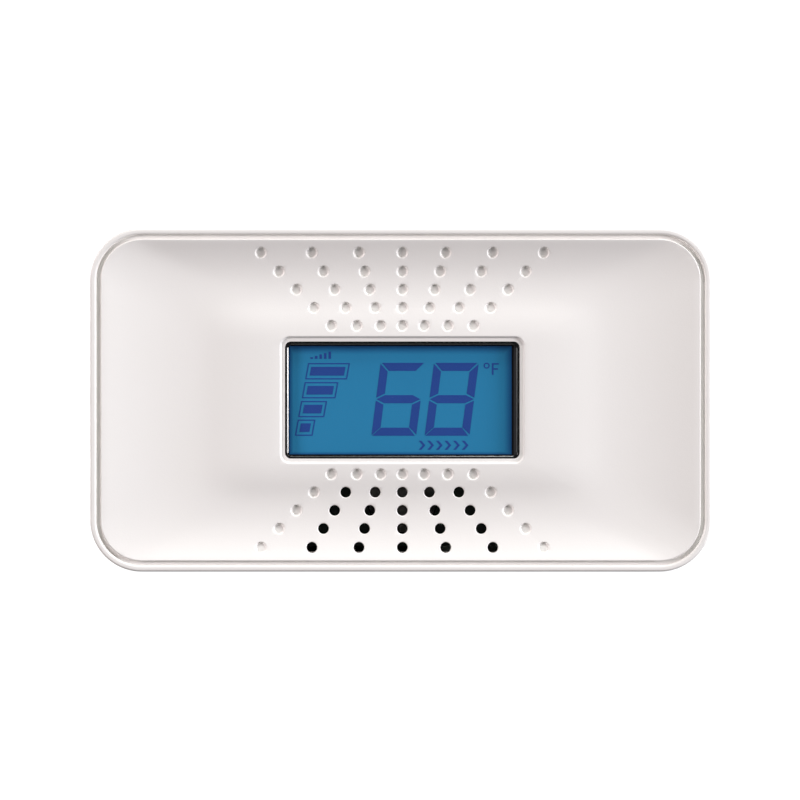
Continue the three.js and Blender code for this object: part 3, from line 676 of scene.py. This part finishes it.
def makeRearHousing():
    c = case
    inner = backY - c["wall"]
    shell = fullPlate("rear_housing_shell", 0, frontY, backY, 20)
    bevelEdges(shell, ringAt(1, frontY), c["frontRound"], 4)
    bevelEdges(shell, ringAt(1, backY), c["backRound"], 8)
    ledgeFront = frontY + c["ledgeDepth"]
    ledgeBack = ledgeFront + c["ledgeThickness"]
    combine(shell, [fullPlate("rim", c["rimThickness"], frontY - 1, ledgeFront, 20)], "DIFFERENCE")
    bevelEdges(shell, lambda a, b, edge: (
        isSharp(edge) and max(abs(a.y - frontY), abs(b.y - frontY)) < 0.01
    ), c["rimInnerRound"], 5)
    combine(shell, [fullPlate("ledge", c["ledgeInset"], ledgeFront - 1, ledgeBack + 1)], "DIFFERENCE")
    combine(shell, [fullPlate("cavity", c["wall"], ledgeBack, inner)], "DIFFERENCE")

    tubes = [rod("tube", place, c["tubeRadius"], c["screwFloor"], inner + 0.5)
             for place in corners(c["screwX"], c["screwZ"])]
    combine(shell, tubes, "UNION")
    half = c["headRadius"] + c["pocketMargin"]
    top = c["keyholeZ"] + c["rise"] + c["pocketRise"]
    skin = c["pocketSkin"]
    pocketFront = inner - c["pocketDepth"]
    keyholes = (-c["keyholeX"], c["keyholeX"])
    boxes = [block("pocket", (x - half - skin, pocketFront - skin, c["keyholeZ"] - half - skin),
                   (x + half + skin, inner + 0.5, top + skin)) for x in keyholes]
    combine(shell, boxes, "UNION")
    hollows = [block("pocket", (x - half, pocketFront, c["keyholeZ"] - half),
                     (x + half, inner, top)) for x in keyholes]
    combine(shell, hollows, "DIFFERENCE")

    bayFloor = backY - c["bayDepth"]
    slotLow, slotHigh = c["bayZ"] - c["slotHalfHeight"], c["bayZ"] + c["slotHalfHeight"]
    bays, slots = [], []
    for low, high in c["slots"]:
        bay = block("bay", (low - c["bayMargin"], bayFloor, slotLow - c["bayMargin"]),
                    (high + c["bayMargin"], backY + 1, slotHigh + c["bayMargin"]), c["bayRadius"], 6)
        bevelEdges(bay, ringAt(1, bayFloor), c["bayFloorRound"], 3)
        bays.append(bay)
        slot = block("slot", (low, inner - 1, slotLow), (high, backY, slotHigh), c["slotRound"], 3)
        slots.append(slot)
    bays.append(block("label", (-c["labelHalfX"], backY - c["labelDepth"], c["labelLow"]),
                      (c["labelHalfX"], backY + 1, c["labelHigh"]), c["labelRound"], 5))
    combine(shell, bays, "DIFFERENCE")
    combine(shell, slots, "DIFFERENCE")

    keys = []
    for x in keyholes:
        key = rod("key", (x, c["keyholeZ"]), c["headRadius"], inner - 1, backY + 1, 40)
        neck = block("neck", (x - c["neckRadius"], inner - 1, c["keyholeZ"]),
                     (x + c["neckRadius"], backY + 1, c["keyholeZ"] + c["rise"]))
        end = rod("end", (x, c["keyholeZ"] + c["rise"]), c["neckRadius"], inner - 1, backY + 1, 32)
        combine(key, [neck], "UNION")
        combine(key, [end], "UNION")
        keys.append(key)
    combine(shell, keys, "DIFFERENCE")
    wells = [rod("well", place, c["wellRadius"], c["screwFloor"] + c["screwFloorThickness"], backY + 1)
             for place in corners(c["screwX"], c["screwZ"])]
    combine(shell, wells, "DIFFERENCE")
    combine(shell, [rod("bore", place, c["boreRadius"], c["screwFloor"] - 1, backY, 20)
                    for place in corners(c["screwX"], c["screwZ"])], "DIFFERENCE")
    bevelEdges(shell, lambda a, b, edge: (
        isSharp(edge) and max(abs(a.y - backY), abs(b.y - backY)) < 0.01
    ), c["mouthRound"], 3)
    print("rear housing: back")

    x, y, halfX, halfY = c["buttonX"], c["buttonY"], c["buttonHalfX"], c["buttonHalfY"]
    hole = block("button", (x - halfX, y - halfY, height - c["wall"] - 1),
                 (x + halfX, y + halfY, height + 1), c["buttonRadius"], 8, along=2)
    combine(shell, [hole], "DIFFERENCE")
    vents = []
    for i in range(c["ventCount"]):
        y = c["ventY"] + i * c["ventPitch"]
        low = (halfWidth - c["ventReach"], y, c["ventLow"])
        high = (halfWidth + 1, y + c["ventWidth"], c["ventHigh"])
        vents.append(block("vent", low, high, c["ventWidth"] / 2 - 0.01, 6, along=0))
    combine(shell, vents, "DIFFERENCE")
    pads = [rod("pad", (sx * c["padX"], sy * c["padY"]), c["padRadius"], -1, c["padDepth"], 32, along=2)
            for sx in (-1, 1) for sy in (-1, 1)]
    combine(shell, pads, "DIFFERENCE")
    for axis, value in ((2, height), (0, halfWidth), (2, 0)):
        bevelEdges(shell, ringAt(axis, value), c["holeRound"], 3)
    tidyMesh(shell)
    smooth(shell, 35)
    return shell


rearHousing = settle(makeRearHousing(), "root", ivoryAbs, ["rear_housing"])
print("rear housing:", len(rearHousing.data.polygons), "faces")


display = {
    "left": -21.4, "right": 22, "halfHeight": 10.8, "radius": 1.05,
    "openLeft": -20.8, "openRight": 21.45, "openHalfHeight": 10.27, "openRadius": 0.6,
    "chamfer": 0.26, "edgeRound": 0.08, "lip": 0.55, "flangeRound": 1, "overlap": 0.3,
    "lensRoom": 0.2, "lensGap": 0.1,
}


def makeBezel():
    d = display
    low, high = cadBox("display_bezel")
    flangeFront = low.y + d["lip"]
    ring = block("display_frame", (d["left"], low.y, midZ - d["halfHeight"]),
                 (d["right"], flangeFront + d["overlap"], midZ + d["halfHeight"]), d["radius"], 8)
    flange = block("flange", (low.x, flangeFront, low.z), (high.x, high.y, high.z),
                   d["flangeRound"], 4)
    combine(ring, [flange], "UNION")
    opening = block("opening", (d["openLeft"], low.y - 1, midZ - d["openHalfHeight"]),
                    (d["openRight"], high.y + 1, midZ + d["openHalfHeight"]), d["openRadius"], 6)
    combine(ring, [opening], "DIFFERENCE")
    lensLow, lensHigh = cadBox("display_lens")
    room = d["lensRoom"]
    pocket = block("pocket", (lensLow.x - room, lensLow.y - d["lensGap"], lensLow.z - room),
                   (lensHigh.x + room, high.y + 1, lensHigh.z + room))
    combine(ring, [pocket], "DIFFERENCE")
    onFront, reach = ringAt(1, low.y), 0.1

    def onOpening(a, b, edge):
        return onFront(a, b, edge) and all(
            d["openLeft"] - reach < end.x < d["openRight"] + reach
            and abs(end.z - midZ) < d["openHalfHeight"] + reach for end in (a, b)
        )

    bevelEdges(ring, onOpening, d["chamfer"], 1)
    bevelEdges(ring, lambda a, b, edge: (
        isSharp(edge, 30) and max(abs(a.y - low.y), abs(b.y - low.y)) < 0.01
    ), d["edgeRound"], 3)
    tidyMesh(ring)
    smooth(ring, 30)
    return ring


settle(makeBezel(), "root", blackGlossAbs, ["display_bezel"])

panel = {"sink": 0.08, "edgeRound": 0.06, "glass": 1.1, "ledge": 2.3}


def makePanel():
    low, high = cadBox("lcd_panel")
    rear = low.y + panel["glass"]
    front = block("display_panel", (low.x, low.y + panel["sink"], low.z + panel["ledge"]),
                  (high.x, rear, high.z - panel["ledge"]))
    combine(front, [block("rear", (low.x, rear, low.z), (high.x, high.y, high.z))], "UNION")
    bevelEdges(front, ringAt(1, low.y + panel["sink"]), panel["edgeRound"], 2)
    tidyMesh(front)
    smooth(front, 30)
    return front


settle(makePanel(), "root", litGlass, ["lcd_panel"])

cells = {"thickness": 0.03, "above": 0.005}
cellBack = cadBox("lcd_panel")[0].y + panel["sink"] - cells["above"]
cellFront = cellBack - cells["thickness"]


# Flat outlines, in mm from the middle of the face; the first is the edge and the rest are holes.
def flatPiece(name, outlines):
    curve = bpy.data.curves.new(name, "CURVE")
    curve.dimensions = "2D"
    curve.fill_mode = "BOTH"
    curve.extrude = cells["thickness"] / 2 * mm
    for outline in outlines:
        spline = curve.splines.new("POLY")
        spline.points.add(len(outline) - 1)
        for point, (x, z) in zip(spline.points, outline):
            point.co = (x * mm, z * mm, 0, 1)
        spline.use_cyclic_u = True
    piece = bpy.data.objects.new(name, curve)
    bpy.context.scene.collection.objects.link(piece)
    pick(piece)
    bpy.ops.object.convert(target="MESH")
    piece = bpy.context.active_object
    piece.rotation_euler = (math.pi / 2, 0, 0)
    piece.location = (0, (cellBack + cellFront) / 2 * mm, midZ * mm)
    bpy.ops.object.transform_apply(location=True, rotation=True, scale=True)
    tidyMesh(piece, 0.001)
    return piece


digit = {
    "width": 8.3, "height": 13.53, "low": -6.62, "stroke": 1.5, "lean": 0.128, "gap": 0.24,
    "waistLift": 0.02, "waistGap": 0.28,
}
digits = [("6", -5.44), ("8", 4.45)]  # the left foot of each
lit = {"6": "abcdef", "8": "abcdefg"}
bars = {  # the outlines give the left foot, right top, low and high of each
    "outlines": [
        (-17.72, -9.42, 3.84, 6.86), (-18.34, -11.56, 0.33, 3.33),
        (-19.0, -13.66, -3.17, -0.17), (-19.62, -15.82, -6.62, -3.62),
    ],
    "lean": 0.18, "line": 0.21, "rim": 0.7,
}
steps = {  # small rising bars over the level marks
    "count": 5, "left": -16.75, "pitch": 0.84, "width": 0.46, "foot": 7.64, "top": 7.95, "rise": 0.26,
}
chevrons = {
    "count": 6, "left": 3.35, "pitch": 1.6, "middle": -8.38, "reach": 0.72, "thick": 0.5, "rise": 0.84,
}
degree = {"x": 15.94, "z": 6.38, "radii": (0.56, 0.34), "sides": 24}
letter = {  # an F
    "left": 16.92, "foot": 4.68, "stroke": 0.3, "midEnd": 1.12, "topEnd": 1.26,
    "midLow": 0.95, "midHigh": 1.22, "topLow": 1.9, "topHigh": 2.17,
}


def digitSegments(left):
    w, h, t, g = digit["width"], digit["height"], digit["stroke"], digit["gap"]
    m, e = h / 2 + digit["waistLift"], digit["waistGap"]
    upright = {
        "a": [(g, h), (w - g, h), (w - t - g * 0.5, h - t), (t + g * 0.8, h - t)],
        "b": [(0, h - g * 0.8), (t, h - t - g * 0.6), (t, m + t / 2 + e), (0, m + e)],
        "c": [(g * 0.4, m), (t + g * 0.4, m + t / 2), (w - t - g * 0.4, m + t / 2), (w - g * 0.4, m),
              (w - t - g * 0.4, m - t / 2), (t + g * 0.4, m - t / 2)],
        "d": [(0, m - e), (t, m - t / 2 - e), (t, t + g * 0.3), (0, g * 0.4)],
        "e": [(w, m - e), (w - t, m - t / 2 - e), (w - t, t + g * 0.3), (w, g)],
        "f": [(g * 0.5, 0), (w - g, 0), (w - t - g * 0.4, t), (t + g * 0.4, t)],
        "g": [(w, h - g), (w - t, h - t - g), (w - t, m + t / 2 + e), (w, m + e)],
    }
    return {key: [(left + x + digit["lean"] * z, digit["low"] + z) for x, z in points]
            for key, points in upright.items()}


def skewedBar(left, right, low, high, inset):
    l, r, lo, hi = left + inset, right - inset, low + inset, high - inset
    lean = bars["lean"]
    side = lean * (high - low)
    return [(l + lean * (lo - low), lo), (r - side + lean * (lo - low), lo),
            (r - side + lean * (hi - low), hi), (l + lean * (hi - low), hi)]


def makeCells():
    made = []
    for name, left in digits:
        for key, points in digitSegments(left).items():
            if key in lit[name]:
                made.append(flatPiece("segment", [points]))

    for sides in bars["outlines"]:
        made.append(flatPiece("bar", [skewedBar(*sides, 0), skewedBar(*sides, bars["line"])]))
        made.append(flatPiece("bar", [skewedBar(*sides, bars["rim"])]))

    for i in range(steps["count"]):
        x, top = steps["left"] + i * steps["pitch"], steps["top"] + steps["rise"] * i
        right, foot = x + steps["width"], steps["foot"]
        made.append(flatPiece("step", [[(x, foot), (right, foot), (right, top), (x, top)]]))

    reach, thick, rise = chevrons["reach"], chevrons["thick"], chevrons["rise"]
    for i in range(chevrons["count"]):
        x, z = chevrons["left"] + i * chevrons["pitch"], chevrons["middle"]
        made.append(flatPiece("chevron", [[
            (x, z + rise), (x + thick, z + rise), (x + thick + reach, z), (x + thick, z - rise),
            (x, z - rise), (x + reach, z)]]))

    turns = [i * 2 * math.pi / degree["sides"] for i in range(degree["sides"])]
    rings = [[(degree["x"] + r * math.cos(a), degree["z"] + r * math.sin(a)) for a in turns]
             for r in degree["radii"]]
    made.append(flatPiece("degree", rings))

    f = letter
    x, z, t = f["left"], f["foot"], f["stroke"]
    made.append(flatPiece("letter", [[
        (x, z), (x + t, z), (x + t, z + f["midLow"]), (x + f["midEnd"], z + f["midLow"]),
        (x + f["midEnd"], z + f["midHigh"]), (x + t, z + f["midHigh"]), (x + t, z + f["topLow"]),
        (x + f["topEnd"], z + f["topLow"]), (x + f["topEnd"], z + f["topHigh"]),
        (x, z + f["topHigh"])]]))
    whole = joined(made)
    whole.name = "display_cells"
    return whole


displayCells = settle(makeCells(), "root", darkCells)
print("display:", len(displayCells.data.polygons), "faces in its cells")


buttonShape = {
    "halfX": 9, "halfY": 4.5, "radius": 2, "edgeRound": 0.35,
    "dishDepth": 0.3, "dishShares": (0.2, 0.45, 0.35), "dishPitch": 0.55,
    "flangeLow": 0.8, "flangeHigh": 2.2,
    "postPlace": (30, -3), "postRadius": 1.6, "postLength": 1.2,
}


def makeButton():
    b = buttonShape
    low, high = cadBox("test_button")
    x, y = case["buttonX"], case["buttonY"]
    flangeLow, flangeHigh = low.z + b["flangeLow"], low.z + b["flangeHigh"]
    cap = block("test_button_cap", (x - b["halfX"], y - b["halfY"], flangeLow),
                (x + b["halfX"], y + b["halfY"], high.z), b["radius"], 8, along=2)
    openMesh(cap, "FACE")
    chooseFaces(cap, lambda middle, normal: normal.z > 0.9)
    for share in b["dishShares"]:
        bpy.ops.mesh.inset(thickness=b["dishPitch"] * mm, depth=0)
        sink = b["dishDepth"] * share
        bpy.ops.transform.translate(value=(0, 0, -sink * mm))
    closeMesh()
    bevelEdges(cap, ringAt(2, high.z), b["edgeRound"], 4)
    flange = block("flange", (low.x, low.y, flangeLow), (high.x, high.y, flangeHigh),
                   b["radius"], 5, along=2)
    combine(cap, [flange], "UNION")
    post = rod("post", b["postPlace"], b["postRadius"], low.z, low.z + b["postLength"], 20, along=2)
    combine(cap, [post], "UNION")
    tidyMesh(cap)
    smooth(cap, 40)
    return cap


settle(makeButton(), "test_button", ivoryAbs, ["test_button"])
print("test button made")


slider = {
    "knobWidth": 4, "knobHeight": 3.8, "edgeRound": 0.25, "overlap": 0.5,
    "plateHalf": 3.4, "plateThickness": 1.2, "plateRound": 0.4, "plateGap": 0.3,
    "grooves": (-1.1, 0, 1.1), "grooveWidth": 0.5, "grooveDepth": 0.45, "grooveRound": 0.1,
    "tongueHalf": 1.1, "tongueRound": 0.2, "tongueGap": 0.7,
}
knobs = {  # the middle of each knob at rest, its slot and its finish
    "activation_slider": (3, "ivory_abs", ivoryAbs),
    "unit_slider": (-20, "black_resin", blackAbs),
}


def makeSlider(node, x):
    s = slider
    low, high = cadBox(node)
    z = (low.z + high.z) / 2
    plateBack = backY - case["wall"] - s["plateGap"]
    knob = block(node + "_knob",
                 (x - s["knobWidth"] / 2, plateBack - s["overlap"], z - s["knobHeight"] / 2),
                 (x + s["knobWidth"] / 2, high.y, z + s["knobHeight"] / 2))
    bevelEdges(knob, ringAt(1, high.y), s["edgeRound"], 3)
    halfGroove = s["grooveWidth"] / 2
    grooves = [block("groove", (x + at - halfGroove, high.y - s["grooveDepth"], z - 3),
                     (x + at + halfGroove, high.y + 1, z + 3)) for at in s["grooves"]]
    combine(knob, grooves, "DIFFERENCE")
    bevelEdges(knob, lambda a, b, edge: (
        isSharp(edge) and min(a.y, b.y) > high.y - 0.01
    ), s["grooveRound"], 2)
    plate = block("plate", (low.x, plateBack - s["plateThickness"], z - s["plateHalf"]),
                  (high.x, plateBack, z + s["plateHalf"]), s["plateRound"], 3)
    combine(knob, [plate], "UNION")
    tongue = block("tongue", (x - s["tongueHalf"], low.y, z - s["tongueHalf"]),
                   (x + s["tongueHalf"], plateBack - s["tongueGap"], z + s["tongueHalf"]),
                   s["tongueRound"], 2)
    combine(knob, [tongue], "UNION")
    tidyMesh(knob)
    smooth(knob, 35)
    return knob


for node, (x, slotName, finish) in knobs.items():
    settle(makeSlider(node, x), node, finish, [node])
print("slide switches made")


# Four pieces of one shape: the first is made and copied to every place.
def makeFour(stem, twinStem, make, finish):
    first = make(f"{stem}_1")
    firstPlace = cadBox(f"{stem}_1")[0]
    for number in (1, 2, 3, 4):
        node = f"{stem}_{number}"
        twin = copied(first, f"{twinStem}_{number}", cadBox(node)[0] - firstPlace)
        settle(twin, "root", finish, [node])
    bpy.data.objects.remove(first, do_unlink=True)


screwLook = {
    "headHeight": 2, "dome": 0.55, "underRound": 0.15, "shankRadius": 1.4, "overlap": 0.5,
    "recessArm": 1.7, "recessHalf": 0.36, "recessDepth": 1.1, "recessNarrow": 0.6, "sides": 40,
}


def makeScrew(node):
    s = screwLook
    low, high = cadBox(node)
    x, z = (low.x + high.x) / 2, (low.z + high.z) / 2
    radius = (high.x - low.x) / 2
    headFront = high.y - s["headHeight"]
    head = rod("pan_head", (x, z), radius, headFront, high.y, s["sides"])
    bevelEdges(head, ringAt(1, high.y), s["dome"], 5)
    bevelEdges(head, ringAt(1, headFront), s["underRound"], 2)
    shank = rod("shank", (x, z), s["shankRadius"], low.y, headFront + s["overlap"], 20)
    combine(head, [shank], "UNION")
    arm, half, floor = s["recessArm"], s["recessHalf"], high.y - s["recessDepth"]
    cross = block("cross", (x - arm, floor, z - half), (x + arm, high.y + 1, z + half))
    bar = block("bar", (x - half, floor, z - arm), (x + half, high.y + 1, z + arm))
    combine(cross, [bar], "UNION")
    openMesh(cross, "FACE")  # the recess narrows towards its floor
    chooseFaces(cross, lambda centre, normal: normal.y < -0.9)
    bpy.ops.transform.resize(
        value=(s["recessNarrow"], 1, s["recessNarrow"]), center_override=(x * mm, floor * mm, z * mm)
    )
    closeMesh()
    combine(head, [cross], "DIFFERENCE")
    tidyMesh(head)
    smooth(head, 40)
    return head


makeFour("housing_screw", "case_screw", makeScrew, platedSteel)

padLook = {"edgeRound": 0.25, "rimWidth": 0.5, "slopeWidth": 0.15, "dish": 0.12, "sides": 48}


def makePad(node):
    low, high = cadBox(node)
    x, y = (low.x + high.x) / 2, (low.y + high.y) / 2
    disc = rod("rubber_disc", (x, y), (high.x - low.x) / 2, low.z, high.z, padLook["sides"], along=2)
    bevelEdges(disc, ringAt(2, low.z), padLook["edgeRound"], 4)
    openMesh(disc, "FACE")
    chooseFaces(disc, lambda centre, normal: normal.z < -0.99)
    bpy.ops.mesh.inset(thickness=padLook["rimWidth"] * mm, depth=0)
    bpy.ops.mesh.inset(thickness=padLook["slopeWidth"] * mm, depth=-padLook["dish"] * mm)
    closeMesh()
    tidyMesh(disc)
    smooth(disc, 30)
    return disc


makeFour("foot_pad", "rubber_foot", makePad, greyRubber)
print("screws and pads made")


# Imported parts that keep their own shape.
finishes = {
    "black_resin": blackEpoxy,
    "clear_acrylic": clearAcrylic,
    "diffuser_acrylic": frostedAcrylic,
    "natural_abs": naturalAbs,
    "silicone_rubber": siliconeRubber,
    "plated_steel": platedSteel,
    "brass_plate": rolledBrass,
    "circuit_board": solderMask,
    "battery_sleeve": shrinkSleeve,
    "black_gloss_abs": blackAbs,
}
keptParts = {
    "black_resin": ["tact_switch_body", "tact_plunger", "microcontroller", "horn_inductor"],
    "clear_acrylic": ["display_lens"],
    "diffuser_acrylic": ["light_guide", "backlight_led_left", "backlight_led_right"],
    "natural_abs": ["lcd_holder"],
    "silicone_rubber": ["zebra_strip_lower", "zebra_strip_upper"],
    "plated_steel": ["activation_switch_body", "unit_switch_body", "storage_capacitor",
                     "co_sensor_body", "battery_contact_positive", "battery_contact_negative",
                     "board_screw_1", "board_screw_2", "board_screw_3", "board_screw_4",
                     "switch_board_screw_1", "switch_board_screw_2"],
    "brass_plate": ["piezo_disc", "sounder_contact_1", "sounder_contact_2", "sounder_contact_3"],
    "circuit_board": ["main_board", "switch_board"],
    "battery_sleeve": ["battery_cell"],
    "black_gloss_abs": ["co_sensor_cap", "sounder_chamber", "battery_holder"],
}
ownFinish = {"piezo_disc": silveredCeramic}  # the ceramic side of the disc faces front
for slotName, nodes in keptParts.items():
    for node in nodes:
        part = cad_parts[node]
        part.data.materials.clear()
        part.data.materials.append(ownFinish.get(node, finishes[slotName]))
print("packed parts finished")


# Floor, backdrop, lights and camera.
studio = {
    "floorSize": 6.4, "floorDrop": 0.0002, "wallHeight": 4.0, "paper": "8A8A8A", "paperGlow": 1,
    "airColour": (1, 1, 1), "airStrength": 0.15,
    "lightDistance": 2.5,
    "cameraDistance": 1.2, "cameraX": -0.13, "cameraZ": 0.005, "lens": 287.2,
}
softboxes = {  # where each stands, how wide it is, its power and its colour
    "key softbox": ((1, -1, 1), 0.9, 12.6, (1, 1, 1)),
    "top softbox": ((0.1, -0.35, 1), 0.9, 25.7, (0.94, 1, 0.99)),
    "right softbox": ((1, -0.35, 0.1), 0.9, 55, (0.94, 0.93, 1)),
    "left softbox": ((-1, -0.6, 0.3), 0.9, 38.2, (1, 0.91, 0.94)),
    "right edge strip": ((1, 0, 0.03), 0.35, 11, (1, 1, 1)),
    "top edge strip": ((0.03, 0, 1), 0.3, 5, (1, 1, 1)),
    "left edge strip": ((-1, 0, 0.03), 0.3, 0.8, (1, 1, 1)),
    "rear softbox": ((-0.5, 1, 0.25), 1.5, 36, (1, 0.97, 0.96)),
}


def stageFinish():
    finish, tree = newFinish("white studio paper")
    shader = addNode(tree, "ShaderNodeBsdfPrincipled", {
        "Base Color": linear(studio["paper"]), "Roughness": 0.9,
        "Emission Color": linear("FFFFFF"), "Emission Strength": studio["paperGlow"],
    })
    closeFinish(tree, shader)
    finish.cycles.emission_sampling = "NONE"
    return finish


def makeStage():  # a floor with walls all round, so that every view ends on white paper
    bpy.ops.object.select_all(action="DESELECT")
    bpy.ops.mesh.primitive_plane_add(size=studio["floorSize"], location=(0, 0, -studio["floorDrop"]))
    floor = bpy.context.active_object
    floor.name = "floor"
    bpy.ops.object.transform_apply(location=True, rotation=True, scale=True)
    openMesh(floor)
    chooseEdges(floor, lambda a, b, edge: edge.is_boundary)
    bpy.ops.mesh.extrude_region_move(TRANSFORM_OT_translate={"value": (0, 0, studio["wallHeight"])})
    closeMesh()
    floor.data.materials.append(stageFinish())
    floor.visible_diffuse = False
    floor.visible_glossy = False
    floor.visible_shadow = False


makeStage()
world = bpy.data.worlds.new("studio air")
bpy.context.scene.world = world
world.use_nodes = True
world.node_tree.nodes["Background"].inputs[0].default_value = (*studio["airColour"], 1)
world.node_tree.nodes["Background"].inputs[1].default_value = studio["airStrength"]

middle = (cadBounds[0] + cadBounds[1]) / 2
for name, (direction, size, power, colour) in softboxes.items():
    away = Vector(direction).normalized()
    bpy.ops.object.light_add(type="AREA", location=middle + away * studio["lightDistance"])
    light = bpy.context.active_object
    light.name = name
    light.data.shape = "DISK"
    light.data.size = size
    light.data.energy = power
    light.data.color = colour
    light.rotation_euler = away.to_track_quat("Z", "Y").to_euler()

cameraData = bpy.data.cameras.new("camera")
camera = bpy.data.objects.new("camera", cameraData)
bpy.context.scene.collection.objects.link(camera)
cameraData.lens = studio["lens"]
cameraData.clip_end = 20
camera.location = (
    studio["cameraX"] * mm, -studio["cameraDistance"], (midZ + studio["cameraZ"]) * mm
)
camera.rotation_euler = (math.pi / 2, 0, 0)
bpy.context.scene.camera = camera
bpy.context.scene.view_settings.view_transform = "Standard"
print("studio set")
